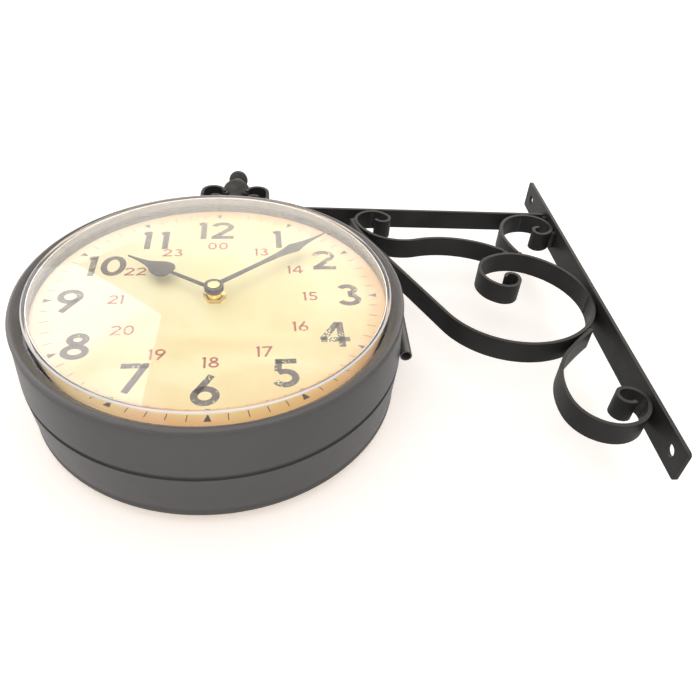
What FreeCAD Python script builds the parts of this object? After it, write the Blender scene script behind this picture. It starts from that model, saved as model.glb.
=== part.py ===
import FreeCAD, Part

import math
import os

import Sketcher

# Double sided station clock on a scrolled wall bracket, in millimetres.
# Origin: midway between the two plate holes, on the back face of the wall plate.
# +X points into the wall, -Y is the side of the front dial, +Z is up.

os.makedirs("parts", exist_ok=True)
doc = FreeCAD.newDocument("station_clock")
Vector = FreeCAD.Vector


# ---------------------------------------------------------------- driving sizes

SIZES = (
    ("plate_width", 19.0),
    ("plate_thickness", 2.0),
    ("plate_length", 262.0),
    ("plate_corner", 2.0),
    ("plate_hole_radius", 3.25),
    ("plate_hole_pitch", 240.0),
    ("strip_width", 13.0),
    ("strip_thickness", 2.0),
    ("bar_top", 88.9),
    ("bar_reach", 241.0),
    ("bar_corner", 2.5),
    ("weld_radius", 1.9),
    ("weld_length", 11.0),
    ("drum_reach", 219.0),
    ("drum_drop", 36.0),
    ("seam_radius", 98.4),
    ("wall_radius", 97.0),
    ("wall_sheet", 1.0),
    ("wall_bend", 0.2),
    ("seam_half_width", 1.45),
    ("wall_depth", 24.4),
    ("crease_radius", 96.4),
    ("crease_depth", 25.4),
    ("bead_centre_radius", 95.5),
    ("bead_centre_depth", 27.5),
    ("bead_radius", 1.7),
    ("lip_radius", 91.3),
    ("lip_depth", 25.3),
    ("lip_inside_radius", 92.05),
    ("lip_inside_depth", 24.63),
    ("band_half_width", 8.0),
    ("band_taper", 0.41),
    ("sleeve_reach", 99.9),
    ("sleeve_radius", 3.2),
    ("sleeve_bore_radius", 2.5),
    ("sleeve_length", 38.4),
    ("dial_radius", 93.0),
    ("dial_thickness", 1.0),
    ("dial_depth", 21.3),
    ("ring_inner_radius", 88.0),
    ("ring_leg_depth", 12.0),
    ("ring_sheet", 0.8),
    ("ring_bedding", 0.2),
    ("lens_radius", 90.2),
    ("lens_depth", 32.4),
    ("lens_thickness", 1.5),
    ("lens_edge_bevel", 0.7),
    ("lens_skirt", 2.0),
    ("lens_draft", 0.3),
    ("flange_radius", 94.0),
    ("flange_depth", 24.6),
    ("flange_thickness", 1.5),
    ("seal_inner_radius", 89.0),
    ("movement_side", 56.0),
    ("movement_corner", 4.0),
    ("movement_front", 20.3),
    ("movement_back", 4.4),
    ("bay_length", 52.0),
    ("bay_width", 15.2),
    ("bay_depth", 14.6),
    ("bay_drop", 18.6),
    ("cell_radius", 7.1),
    ("cell_length", 50.2),
    ("cell_pip_radius", 2.7),
    ("cell_pip_height", 1.2),
    ("cell_lift", 0.2),
    ("bush_radius", 3.2),
    ("bush_bore_radius", 2.58),
    ("bush_top", 24.9),
    ("nut_flats", 10.0),
    ("nut_thickness", 2.5),
    ("pipe_radius", 2.5),
    ("pipe_bore_radius", 1.6),
    ("arbor_radius", 1.52),
    ("arbor_flange_radius", 3.9),
    ("arbor_flange_depth", 28.3),
    ("arbor_flange_thickness", 0.6),
    ("shaft_foot_gap", 0.1),
    ("hub_radius", 4.9),
    ("hour_hub_depth", 26.7),
    ("hour_hub_thickness", 1.2),
    ("minute_hub_thickness", 0.8),
    ("blade_thickness", 0.6),
    ("minute_blade_thickness", 0.5),
    ("cap_radius", 3.0),
    ("cap_height", 0.8),
    ("cap_edge", 0.2),
    ("hour_tip", 56.0),
    ("hour_half_width", 6.5),
    ("minute_tip", 83.0),
    ("minute_half_width", 4.1),
    ("knob_radius", 6.5),
    ("knob_thickness", 2.6),
    ("knob_offset", 13.0),
    ("knob_lift", 0.15),
    ("knob_arbor_length", 2.3),
    ("flute_radius", 1.1),
    ("flute_reach", 7.0),
    ("stud_radius", 4.0),
    ("stud_top", 112.0),
    ("stud_fit", 0.08),
    ("stud_end", 86.0),
    ("collar_radius", 9.0),
    ("collar_neck_radius", 6.0),
    ("collar_top", 105.0),
    ("collar_foot", 94.0),
    ("hanger_nut_flats", 13.0),
    ("hanger_nut_thickness", 5.0),
    ("hanger_play", 0.1),
    ("finial_height", 55.2),
    ("finial_ball_radius", 6.7),
    ("finial_skirt_radius", 9.6),
    ("finial_skirt_foot", 29.0),
    ("finial_skirt_top", 30.6),
    ("finial_foot_radius", 7.6),
    ("finial_foot_height", 2.0),
    ("finial_waist_radius", 6.5),
    ("finial_waist_height", 3.2),
    ("finial_stem_radius", 6.0),
    ("finial_stem_foot", 5.0),
    ("finial_stem_top", 19.0),
    ("finial_crease_radius", 5.7),
    ("finial_crease_drop", 2.25),
)

sheet = doc.addObject("Spreadsheet::Sheet", "Sizes")
for row, (name, value) in enumerate(SIZES, start=1):
    sheet.set("A%d" % row, name)
    sheet.set("B%d" % row, str(value))
    sheet.setAlias("B%d" % row, name)
doc.recompute()


class Length:
    """A length together with the formula over the sheet's cells that gives it."""

    def __init__(self, value, formula):
        self.value = value
        self.formula = formula

    def combine(self, other, sign, result):
        return Length(result, "(%s %s %s)" % (self.formula, sign, as_length(other).formula))

    def __add__(self, other):
        return self.combine(other, "+", self.value + as_length(other).value)

    def __sub__(self, other):
        return self.combine(other, "-", self.value - as_length(other).value)

    def __mul__(self, factor):
        return self.combine(factor, "*", self.value * factor)

    def __neg__(self):
        return Length(-self.value, "(0 - %s)" % self.formula)


def as_length(number):
    """A plain number becomes a Length whose formula is that number."""
    if isinstance(number, Length):
        return number
    return Length(float(number), "%.12f" % number)


def size(name):
    """The Length kept in the sheet's cell of this name."""
    return Length(float(sheet.get(name)), "Sizes.%s" % name)


# ---------------------------------------------------------------- sketch helpers

def origin_plane(body, role):
    """The plane of this role, such as XY_Plane, in the body's own origin."""
    for feature in body.Origin.OriginFeatures:
        if feature.Role == role:
            return feature
    raise ValueError("no plane %s" % role)


def new_body(name):
    """A body whose label is the name of its file."""
    body = doc.addObject("PartDesign::Body", name)
    body.Label = name
    return body


def new_sketch(body, name, role):
    """A sketch on one of the body's origin planes."""
    sketch = body.newObject("Sketcher::SketchObject", name)
    sketch.AttachmentSupport = [(origin_plane(body, role), "")]
    sketch.MapMode = "FlatFace"
    return sketch


def bind(sketch, constraint, formula):
    """Adds a constraint and ties its value to a formula over the sheet."""
    index = sketch.addConstraint(constraint)
    sketch.setExpression("Constraints[%d]" % index, formula)


def pin(sketch, curve, end, across, up):
    """Fixes one end of a curve by its distances from the sketch's origin."""
    for kind, distance in (("DistanceX", across), ("DistanceY", up)):
        bind(sketch, Sketcher.Constraint(kind, -1, 1, curve, end, distance.value), distance.formula)


def arc_between(start, end, radius, turn):
    """The arc of this radius from start to end: turn is 1 for anticlockwise and -1 for clockwise."""
    chord = end - start
    rise = math.sqrt(max(radius * radius - chord.Length * chord.Length / 4, 0))
    left = Vector(-chord.y, chord.x, 0).normalize()
    centre = start + chord * 0.5 + left * (rise * turn)
    first = start if turn > 0 else end
    last = end if turn > 0 else start
    from_angle = math.atan2(first.y - centre.y, first.x - centre.x)
    to_angle = math.atan2(last.y - centre.y, last.x - centre.x)
    return Part.ArcOfCircle(Part.Circle(centre, Vector(0, 0, 1), radius), from_angle, to_angle)


def outline(sketch, corners):
    """A closed outline. A corner is (across, up), or (across, up, radius, turn) where an arc leads to it."""
    points = [Vector(as_length(c[0]).value, as_length(c[1]).value, 0) for c in corners]
    ends = []
    for index, corner in enumerate(corners):
        start = points[index - 1]
        end = points[index]
        if len(corner) == 2:
            curve = sketch.addGeometry(Part.LineSegment(start, end), False)
            ends.append((curve, 1, 2))
            continue
        radius = as_length(corner[2])
        turn = corner[3]
        curve = sketch.addGeometry(arc_between(start, end, radius.value, turn), False)
        ends.append((curve, 1, 2) if turn > 0 else (curve, 2, 1))
        bind(sketch, Sketcher.Constraint("Radius", curve, radius.value), radius.formula)
    for index, (curve, first, last) in enumerate(ends):
        following, next_first, next_last = ends[(index + 1) % len(ends)]
        sketch.addConstraint(Sketcher.Constraint("Coincident", curve, last, following, next_first))
        pin(sketch, curve, last, as_length(corners[index][0]), as_length(corners[index][1]))


def circle(sketch, across, up, radius):
    """A circle whose centre and radius are tied to the sheet."""
    centre = Vector(as_length(across).value, as_length(up).value, 0)
    curve = sketch.addGeometry(Part.Circle(centre, Vector(0, 0, 1), radius.value), False)
    pin(sketch, curve, 3, as_length(across), as_length(up))
    bind(sketch, Sketcher.Constraint("Radius", curve, radius.value), radius.formula)


def rounded_rectangle(sketch, left, bottom, right, top, radius):
    """A rectangle with four round corners."""
    outline(sketch, (
        (right - radius, bottom),
        (right, bottom + radius, radius, 1),
        (right, top - radius),
        (right - radius, top, radius, 1),
        (left + radius, top),
        (left, top - radius, radius, 1),
        (left, bottom + radius),
        (left + radius, bottom, radius, 1),
    ))


# ---------------------------------------------------------------- feature helpers

def pad(body, sketch, length, midplane=False, reverse=False):
    """Raises a sketch by a length."""
    feature = body.newObject("PartDesign::Pad", sketch.Name + "_pad")
    feature.Profile = sketch
    feature.Midplane = midplane
    feature.Reversed = reverse
    feature.setExpression("Length", length.formula)
    return feature


def pocket(body, sketch, length, midplane=False, reverse=False):
    """Sinks a sketch by a length, and checks that the body lost volume."""
    doc.recompute()
    before = body.Shape.Volume
    feature = body.newObject("PartDesign::Pocket", sketch.Name + "_pocket")
    feature.Profile = sketch
    feature.Midplane = midplane
    feature.Reversed = reverse
    feature.setExpression("Length", length.formula)
    doc.recompute()
    if body.Shape.Volume >= before:
        raise ValueError("%s cuts nothing" % feature.Name)
    return feature


def revolve(body, sketch):
    """Turns a sketch once about its vertical axis."""
    feature = body.newObject("PartDesign::Revolution", sketch.Name + "_turned")
    feature.Profile = sketch
    feature.ReferenceAxis = (sketch, ["V_Axis"])
    feature.Angle = 360
    return feature


def polar_pattern(body, feature, axis_sketch, axis, count):
    """Repeats a feature evenly round an axis."""
    pattern = body.newObject("PartDesign::PolarPattern", feature.Name + "_round")
    pattern.Originals = [feature]
    pattern.Axis = (axis_sketch, [axis])
    pattern.Angle = 360
    pattern.Occurrences = count
    body.Tip = pattern


def place(item, position, turn=0.0):
    """Puts a piece at a position, turned about +Y by an angle in degrees."""
    item.Placement = FreeCAD.Placement(position, FreeCAD.Rotation(Vector(0, 1, 0), turn))


# ---------------------------------------------------------------- wall bracket

def make_wall_plate():
    """Flat bar against the wall, with a round hole near each end."""
    body = new_body("wall_plate")
    half_width = size("plate_width") * 0.5
    half_length = size("plate_length") * 0.5
    face = new_sketch(body, "plate_outline", "YZ_Plane")
    rounded_rectangle(face, -half_width, -half_length, half_width, half_length, size("plate_corner"))
    pad(body, face, size("plate_thickness"), reverse=True)
    holes = new_sketch(body, "plate_holes", "YZ_Plane")
    for side in (-1, 1):
        circle(holes, 0, size("plate_hole_pitch") * (0.5 * side), size("plate_hole_radius"))
    pocket(body, holes, size("plate_thickness") * 3, midplane=True)


def make_top_bar():
    """Horizontal bar that carries the drum: one end is on the plate, the stud goes through the other."""
    body = new_body("top_bar")
    half_width = size("strip_width") * 0.5
    face = new_sketch(body, "bar_outline", "XY_Plane")
    corner = size("bar_corner")
    left = -size("bar_reach")
    right = -size("plate_thickness")
    outline(face, (
        (right, -half_width),
        (right, half_width),
        (left + corner, half_width),
        (left, half_width - corner, corner, 1),
        (left, -half_width + corner),
        (left + corner, -half_width, corner, 1),
    ))
    pad(body, face, size("strip_thickness"))
    hole = new_sketch(body, "bar_hole", "XY_Plane")
    circle(hole, -size("drum_reach"), 0, size("stud_radius"))
    pocket(body, hole, size("strip_thickness") * 3, midplane=True)
    place(body, Vector(0, 0, (size("bar_top") - size("strip_thickness")).value))


def arc_chain(start_x, start_z, heading, turns):
    """Follows tangent arcs from a point. A turn is (radius, degrees), anticlockwise where degrees are
    positive, or (length, 0) for a straight run. Gives point, heading, radius and degrees per piece."""
    pieces = []
    point = Vector(start_x, start_z, 0)
    direction = math.radians(heading)
    for radius, degrees in turns:
        pieces.append((point, direction, radius, degrees))
        if degrees == 0:
            point = point + Vector(math.cos(direction), math.sin(direction), 0) * radius
            continue
        side = math.copysign(1, degrees)
        centre = point + Vector(-math.sin(direction), math.cos(direction), 0) * (radius * side)
        direction += math.radians(degrees)
        point = centre + Vector(math.sin(direction), -math.cos(direction), 0) * (radius * side)
    pieces.append((point, direction, 0, 0))
    return pieces


def beside(piece, offset):
    """The point at a distance to the left of a piece's start, square to its heading."""
    point, direction = piece[0], piece[1]
    return point + Vector(-math.sin(direction), math.cos(direction), 0) * offset


def bent_strip(name, start_x, start_z, heading, turns):
    """A flat strip bent on edge into tangent arcs. Each face of the strip is a chain of tangent arcs
    half a thickness off the centre line, with every radius tied to the strip's thickness."""
    body = new_body(name)
    half = size("strip_thickness") * 0.5
    face = new_sketch(body, name + "_outline", "XZ_Plane")
    pieces = arc_chain(start_x, start_z, heading, turns)
    sides = {}
    for side in (1, -1):
        curves = []
        for index, (radius, degrees) in enumerate(turns):
            start = beside(pieces[index], half.value * side)
            end = beside(pieces[index + 1], half.value * side)
            if degrees == 0:
                curve = face.addGeometry(Part.LineSegment(start, end), False)
                curves.append((curve, 1, 2))
                continue
            turn = math.copysign(1, degrees)
            bend = as_length(radius) - half * (turn * side)
            direction = pieces[index][1]
            centre = start + Vector(-math.sin(direction), math.cos(direction), 0) * (bend.value * turn)
            first = math.atan2(start.y - centre.y, start.x - centre.x)
            last = first + math.radians(degrees)
            angles = (first, last) if turn > 0 else (last, first)
            round_line = Part.Circle(centre, Vector(0, 0, 1), bend.value)
            curve = face.addGeometry(Part.ArcOfCircle(round_line, angles[0], angles[1]), False)
            curves.append((curve, 1, 2) if turn > 0 else (curve, 2, 1))
            bind(face, Sketcher.Constraint("Radius", curve, bend.value), bend.formula)
        for before, after in zip(curves, curves[1:]):
            face.addConstraint(Sketcher.Constraint("Tangent", before[0], before[2], after[0], after[1]))
        sides[side] = curves
    left, right = sides[1], sides[-1]
    for end in (0, -1):
        slot = 1 if end == 0 else 2
        first, last = left[end], right[end]
        piece = pieces[end]
        cap = Part.LineSegment(beside(piece, half.value), beside(piece, -half.value))
        curve = face.addGeometry(cap, False)
        face.addConstraint(Sketcher.Constraint("Coincident", first[0], first[slot], curve, 1))
        face.addConstraint(Sketcher.Constraint("Coincident", curve, 2, last[0], last[slot]))
    pad(body, face, size("strip_width"), midplane=True)
    return body


# Every strip starts and ends in a small roll. Radii and angles are of the strip's centre line.

MAIN_TURNS = ((4.0, -165), (8.6, -123), (16.6, -120), (27.5, -66.5), (44.3, -114), (48.0, -104),
              (86.0, 0), (90.0, -16))
UPPER_TURNS = ((61.6, 35.2), (56.8, 20.7), (30.5, -26.1), (29.4, -64.1), (12.1, -164.4), (5.0, -190))
CORNER_TURNS = ((81.0, -11.2), (30.9, -43.9), (20.3, -51.8), (15.3, -80.6), (10.4, -90.5), (4.5, -200))
LOWER_TURNS = ((250.0, 6), (42.5, 52), (20.8, 71), (19.5, 85), (8.5, 120), (5.0, 200))


def make_scrolls():
    """Four scrolls of flat strip between the plate and the bar."""
    bent_strip("main_scroll", -49.85, 10.6, 89.5, MAIN_TURNS)
    bent_strip("upper_scroll", -44.1, 40.0, 141.5, UPPER_TURNS)
    bent_strip("corner_scroll", -35.6, 38.9, 111.0, CORNER_TURNS)
    bent_strip("lower_scroll", -13.2, -38.6, 221.0, LOWER_TURNS)


# Notches between strips that are filled by a weld, as (x, z) of the bead's centre.
WELD_PLACES = (
    (-43.0, 38.9),
    (-34.2, 38.4),
    (-14.6, -38.6),
    (-3.4, -8.0),
    (-3.4, -92.5),
    (-3.4, 65.0),
    (-20.6, 86.3),
    (-125.3, 86.3),
    (-138.0, 75.5),
    (-3.0, 85.9),
    (-3.0, 89.9),
    (-226.0, 108.7),
    (-212.0, 108.7),
)


def make_welds():
    """Short beads in the notches where two strips touch, shaped by the strips beside them."""
    beads = []
    for number, (x, z) in enumerate(WELD_PLACES):
        bead = doc.addObject("Part::Cylinder", "weld_%d" % number)
        bead.setExpression("Radius", size("weld_radius").formula)
        bead.setExpression("Height", size("weld_length").formula)
        half_length = (size("weld_length") * 0.5).value
        bead.Placement = FreeCAD.Placement(Vector(x, half_length, z), FreeCAD.Rotation(Vector(1, 0, 0), 90))
        beads.append(bead)
    fill = doc.addObject("Part::MultiFuse", "weld_fill")
    fill.Shapes = beads
    strips = doc.addObject("Part::MultiFuse", "weld_neighbours")
    strips.Shapes = [doc.getObject(name) for name in
                     ("wall_plate", "top_bar", "main_scroll", "upper_scroll", "corner_scroll", "lower_scroll",
                      "finial_bud", "finial_scrolls")]
    welds = doc.addObject("Part::Cut", "weld_beads")
    welds.Base = fill
    welds.Tool = strips


def hexagon(sketch, across_flats):
    """Six equal sides about the sketch's origin."""
    corner = across_flats * (0.5 / math.cos(math.radians(30)))
    corners = []
    for step in range(6):
        angle = math.radians(60 * step)
        corners.append((corner * math.cos(angle), corner * math.sin(angle)))
    outline(sketch, corners)


def hex_nut(name, across_flats, thickness, bore, role):
    """A hexagon nut on one of the origin planes, with its hole on the axis."""
    body = new_body(name)
    face = new_sketch(body, name + "_outline", role)
    hexagon(face, across_flats)
    circle(face, 0, 0, bore)
    pad(body, face, thickness)
    return body


def make_finial():
    """Turned bud over the bar: foot, stem, flared skirt, and a ball with a crease round its lower half."""
    body = new_body("finial_bud")
    face = new_sketch(body, "bud_half_section", "XZ_Plane")
    ball = size("finial_ball_radius")
    centre = size("finial_height") - ball
    skirt = size("finial_skirt_radius")
    bore = size("stud_radius")
    bore_top = size("stud_top") - size("bar_top")

    def on_ball(degrees):
        """The corner of the half section at an angle over the ball's middle."""
        turn = math.radians(degrees)
        return (ball * math.cos(turn), centre + ball * math.sin(turn))

    outline(face, (
        (bore, 0),
        (size("finial_foot_radius"), 0),
        (size("finial_foot_radius"), size("finial_foot_height")),
        (size("finial_waist_radius"), size("finial_waist_height")),
        (size("finial_stem_radius"), size("finial_stem_foot")),
        (size("finial_stem_radius"), size("finial_stem_top")),
        (skirt, size("finial_skirt_foot")),
        (skirt, size("finial_skirt_top")),
        on_ball(-49),
        on_ball(-23),
        (size("finial_crease_radius"), centre - size("finial_crease_drop")),
        on_ball(-16),
        on_ball(14),
        on_ball(42),
        on_ball(68),
        (0, centre + ball),
        (0, bore_top),
        (bore, bore_top),
    ))
    revolve(body, face)
    place(body, Vector(-size("drum_reach").value, 0, size("bar_top").value))


ARM_TURNS = ((7.6, -82), (7.0, -78), (24.0, -28), (6.2, -165), (3.4, -150))


def make_finial_arms():
    """Two scrolls of the bracket's flat strip that arch out from the bud and roll in over the bar."""
    body = bent_strip("finial_scrolls", 7.6, 20.0, 82.0, ARM_TURNS)
    polar_pattern(body, body.Tip, doc.getObject("finial_scrolls_outline"), "V_Axis", 2)
    place(body, Vector(-size("drum_reach").value, 0, size("bar_top").value))


def make_hanger():
    """Stud down from the finial through the bar into the drum, with a lock nut and an end nut."""
    drum_x = -size("drum_reach").value
    stud_foot = size("stud_end") - size("drum_drop")
    stud = doc.addObject("Part::Cylinder", "hanger_stud")
    stud.Label = "hanger_stud"
    stud.setExpression("Radius", size("stud_radius").formula)
    stud.setExpression("Height", (size("stud_top") - stud_foot).formula)
    place(stud, Vector(drum_x, 0, stud_foot.value))
    nut = hex_nut("hanger_lock_nut", size("hanger_nut_flats"), size("hanger_nut_thickness"),
                  size("stud_radius"), "XY_Plane")
    under_bar = size("bar_top") - size("strip_thickness") - size("hanger_nut_thickness")
    place(nut, Vector(drum_x, 0, under_bar.value))
    end_nut = hex_nut("hanger_end_nut", size("hanger_nut_flats"), size("hanger_nut_thickness"),
                      size("stud_radius"), "XY_Plane")
    collar_foot = size("collar_foot") - size("drum_drop")
    below_collar = collar_foot - size("hanger_nut_thickness") - size("hanger_play")
    place(end_nut, Vector(drum_x, 0, below_collar.value))


# ---------------------------------------------------------------- drum

DRUM_CENTRE = Vector(-size("drum_reach").value, 0, -size("drum_drop").value)
FRONT = -1
BACK = 1


def side_name(stem, side):
    """The stem with the side of the drum that the piece is on."""
    return "%s_%s" % (stem, "front" if side == FRONT else "back")


def on_side(corners, side):
    """Corners given as (radius, depth from the mid-plane), put on the front or the back."""
    placed = []
    for corner in corners:
        depth = as_length(corner[1]) * side
        turned = (corner[2], corner[3] * side) if len(corner) > 2 else ()
        placed.append((corner[0], depth) + turned)
    return placed


def turned_piece(name, corners, side, centre=DRUM_CENTRE):
    """A solid turned about the drum's axis from a half section of (radius, depth) corners."""
    body = new_body(name)
    face = new_sketch(body, name + "_half_section", "XY_Plane")
    outline(face, on_side(corners, side))
    revolve(body, face)
    place(body, centre)
    return body


def cut_sleeve_channel(body):
    """The round channel in the seam that the side sleeve lies in."""
    channel = new_sketch(body, body.Name + "_channel", "XY_Plane")
    circle(channel, size("sleeve_reach"), 0, size("sleeve_radius"))
    pocket(body, channel, size("sleeve_length"), midplane=True)


def cut_hanger_hole(body):
    """The hole at the drum's top for the neck of the hanger collar."""
    hole = new_sketch(body, body.Name + "_hanger_hole", "XY_Plane")
    circle(hole, 0, 0, size("collar_neck_radius"))
    pocket(body, hole, size("collar_top"), reverse=True)


def make_case_shell(side):
    """Spun half of the drum: a wall that flares towards the seam, a crease, a bead rolled in flats
    and a lip that slopes in to the lens."""
    seam = size("seam_half_width")
    sheet = size("wall_sheet")
    roll = size("bead_radius")
    hollow = roll - sheet

    def on_bead(degrees, radius):
        """The corner of the half section at an angle round the middle of the bead."""
        turn = math.radians(degrees)
        across = size("bead_centre_radius") + radius * math.cos(turn)
        return (across, size("bead_centre_depth") + radius * math.sin(turn))

    body = turned_piece(side_name("case_shell", side), (
        (size("seam_radius"), seam),
        (size("wall_radius"), size("wall_depth")),
        (size("crease_radius"), size("crease_depth")),
        on_bead(-50, roll),
        on_bead(0, roll),
        on_bead(50, roll),
        on_bead(100, roll),
        on_bead(150, roll),
        (size("lip_radius"), size("lip_depth")),
        (size("lip_inside_radius"), size("lip_inside_depth")),
        on_bead(150, hollow),
        on_bead(40, hollow),
        (size("wall_radius") - sheet, size("wall_depth") - size("wall_bend")),
        (size("seam_radius") - sheet, seam),
    ), side)
    cut_sleeve_channel(body)
    cut_hanger_hole(body)


def sleeve_foot():
    """The middle of the side sleeve's lower mouth."""
    half = size("sleeve_length") * 0.5
    return DRUM_CENTRE + Vector(size("sleeve_reach").value, 0, -half.value)


def make_joint_band():
    """Hoop inside both shells that joins them and shows as the floor of the groove between them. The
    side sleeve lies in a round channel across it."""
    half = size("band_half_width")
    seam = size("seam_half_width")
    crown = size("seam_radius") - size("wall_sheet")
    shoulder = crown - size("band_taper")
    inside = shoulder - size("wall_sheet")
    hoop = turned_piece("band_hoop", (
        (crown, -seam),
        (crown, seam),
        (shoulder, half),
        (inside, half),
        (inside, -half),
        (shoulder, -half),
    ), BACK)
    cut_hanger_hole(hoop)
    channel = doc.addObject("Part::Cylinder", "band_channel")
    channel.setExpression("Radius", size("sleeve_radius").formula)
    channel.setExpression("Height", size("sleeve_length").formula)
    place(channel, sleeve_foot())
    band = doc.addObject("Part::Cut", "joint_band")
    band.Label = "joint_band"
    band.Base = hoop
    band.Tool = channel


def make_side_sleeve():
    """Open tube that stands upright in the seam on the wall side."""
    outside = doc.addObject("Part::Cylinder", "sleeve_outside")
    inside = doc.addObject("Part::Cylinder", "sleeve_inside")
    for item, radius in ((outside, "sleeve_radius"), (inside, "sleeve_bore_radius")):
        item.setExpression("Radius", size(radius).formula)
        item.setExpression("Height", size("sleeve_length").formula)
    sleeve = doc.addObject("Part::Cut", "side_sleeve")
    sleeve.Label = "side_sleeve"
    sleeve.Base = outside
    sleeve.Tool = inside
    place(sleeve, sleeve_foot())


def make_hanger_collar():
    """Flanged bush on the drum's top, hollowed underneath to sit on the round wall."""
    flange = doc.addObject("Part::Cylinder", "collar_flange")
    flange.setExpression("Radius", size("collar_radius").formula)
    flange.setExpression("Height", (size("collar_top") - size("collar_foot")).formula)
    flange.Placement.Base = Vector(0, 0, size("collar_foot").value)
    drum = doc.addObject("Part::Cylinder", "collar_saddle")
    drum.setExpression("Radius", size("seam_radius").formula)
    drum.setExpression("Height", (size("collar_radius") * 2).formula)
    drum.Placement = FreeCAD.Placement(Vector(0, size("collar_radius").value, 0),
                                       FreeCAD.Rotation(Vector(1, 0, 0), 90))
    saddle = doc.addObject("Part::Cut", "collar_saddled")
    saddle.Base = flange
    saddle.Tool = drum
    neck = doc.addObject("Part::Cylinder", "collar_neck")
    neck.setExpression("Radius", size("collar_neck_radius").formula)
    neck.setExpression("Height", (size("collar_top") - size("collar_foot")).formula)
    neck.Placement.Base = Vector(0, 0, size("collar_foot").value)
    solid = doc.addObject("Part::Fuse", "collar_solid")
    solid.Base = saddle
    solid.Tool = neck
    bore = doc.addObject("Part::Cylinder", "collar_bore")
    bore.setExpression("Radius", (size("stud_radius") + size("stud_fit")).formula)
    bore.setExpression("Height", (size("collar_top") * 2).formula)
    collar = doc.addObject("Part::Cut", "hanger_collar")
    collar.Label = "hanger_collar"
    collar.Base = solid
    collar.Tool = bore
    place(collar, DRUM_CENTRE)


def make_dial(side):
    """Printed disc with a hole for the movement's bush."""
    front = size("dial_depth")
    turned_piece(side_name("dial", side), (
        (size("bush_radius"), front - size("dial_thickness")),
        (size("dial_radius"), front - size("dial_thickness")),
        (size("dial_radius"), front),
        (size("bush_radius"), front),
    ), side)


def make_dial_ring(side):
    """Angle ring inside the wall that the rim of the dial lies on."""
    face = size("dial_depth") - size("dial_thickness")
    outer = size("wall_radius") - size("wall_sheet") + size("ring_bedding")
    turned_piece(side_name("dial_ring", side), (
        (size("ring_inner_radius"), face - size("ring_sheet")),
        (outer - size("ring_sheet"), face - size("ring_sheet")),
        (outer - size("ring_sheet"), size("ring_leg_depth")),
        (outer, size("ring_leg_depth")),
        (outer, face),
        (size("ring_inner_radius"), face),
    ), side)


def make_seal(side):
    """Flat ring of rubber between the rim of the dial and the flange of the lens."""
    turned_piece(side_name("lens_seal", side), (
        (size("seal_inner_radius"), size("dial_depth")),
        (size("flange_radius"), size("dial_depth")),
        (size("flange_radius"), size("flange_depth") - size("flange_thickness")),
        (size("seal_inner_radius"), size("flange_depth") - size("flange_thickness")),
    ), side)


def make_lens(side):
    """Clear moulded cup: flat face, bevelled edge, drafted skirt and a flange held under the case's lip."""
    inner = size("lens_radius") - size("lens_skirt")
    ceiling = size("lens_depth") - size("lens_thickness")
    bottom = size("flange_depth") - size("flange_thickness")
    edge = size("lens_edge_bevel")
    turned_piece(side_name("lens", side), (
        (0, ceiling),
        (inner, ceiling),
        (inner, bottom),
        (size("flange_radius"), bottom),
        (size("flange_radius"), size("flange_depth")),
        (size("lens_radius") + size("lens_draft"), size("flange_depth")),
        (size("lens_radius"), size("lens_depth") - edge),
        (size("lens_radius") - edge, size("lens_depth")),
        (0, size("lens_depth")),
    ), side)


# ---------------------------------------------------------------- movements

def make_movement(side):
    """Square moulded case of a quartz movement, open at the back for its cell and its setting knob."""
    body = new_body(side_name("movement", side))
    half = size("movement_side") * 0.5
    face = new_sketch(body, body.Name + "_outline", "XZ_Plane")
    rounded_rectangle(face, -half, -half, half, half, size("movement_corner"))
    depth = size("movement_front") - size("movement_back")
    pad(body, face, depth, reverse=(side == BACK))
    bay = new_sketch(body, body.Name + "_bay", "XZ_Plane")
    middle = -size("bay_drop")
    across = size("bay_length") * 0.5
    up = size("bay_width") * 0.5
    outline(bay, (
        (-across, middle - up),
        (across, middle - up),
        (across, middle + up),
        (-across, middle + up),
    ))
    pocket(body, bay, size("bay_depth"), reverse=(side == FRONT))
    socket = new_sketch(body, body.Name + "_knob_socket", "XZ_Plane")
    circle(socket, size("knob_offset"), size("knob_offset"), size("arbor_radius") + size("stud_fit"))
    pocket(body, socket, size("knob_thickness"), reverse=(side == FRONT))
    place(body, DRUM_CENTRE + Vector(0, side * size("movement_back").value, 0))


def make_cell(side):
    """Dry cell in the bay, with the pip of its positive end against the bay's end wall."""
    can = doc.addObject("Part::Cylinder", side_name("cell_can", side))
    can.setExpression("Radius", size("cell_radius").formula)
    can.setExpression("Height", size("cell_length").formula)
    pip = doc.addObject("Part::Cylinder", side_name("cell_pip", side))
    pip.setExpression("Radius", size("cell_pip_radius").formula)
    pip.setExpression("Height", (size("cell_length") + size("cell_pip_height")).formula)
    cell = doc.addObject("Part::Fuse", side_name("cell", side))
    cell.Label = side_name("cell", side)
    cell.Base = can
    cell.Tool = pip
    depth = (size("movement_back") + size("cell_radius") + size("cell_lift")).value
    start = (size("bay_length") * 0.5 - size("cell_length") - size("cell_pip_height")).value
    cell.Placement = FreeCAD.Placement(
        DRUM_CENTRE + Vector(start, side * depth, -size("bay_drop").value),
        FreeCAD.Rotation(Vector(0, 1, 0), 90))


def make_bush(side):
    """Threaded brass tube of the movement that the dial is clamped by."""
    turned_piece(side_name("bush", side), (
        (size("bush_bore_radius"), size("movement_front")),
        (size("bush_radius"), size("movement_front")),
        (size("bush_radius"), size("bush_top")),
        (size("bush_bore_radius"), size("bush_top")),
    ), side)


def make_dial_nut(side):
    """Hexagon nut on the bush, against the dial."""
    nut = hex_nut(side_name("dial_nut", side), size("nut_flats"), size("nut_thickness"),
                  size("bush_radius"), "XZ_Plane")
    foot = size("dial_depth").value
    if side == BACK:
        foot += size("nut_thickness").value
    place(nut, DRUM_CENTRE + Vector(0, side * foot, 0))


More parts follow.
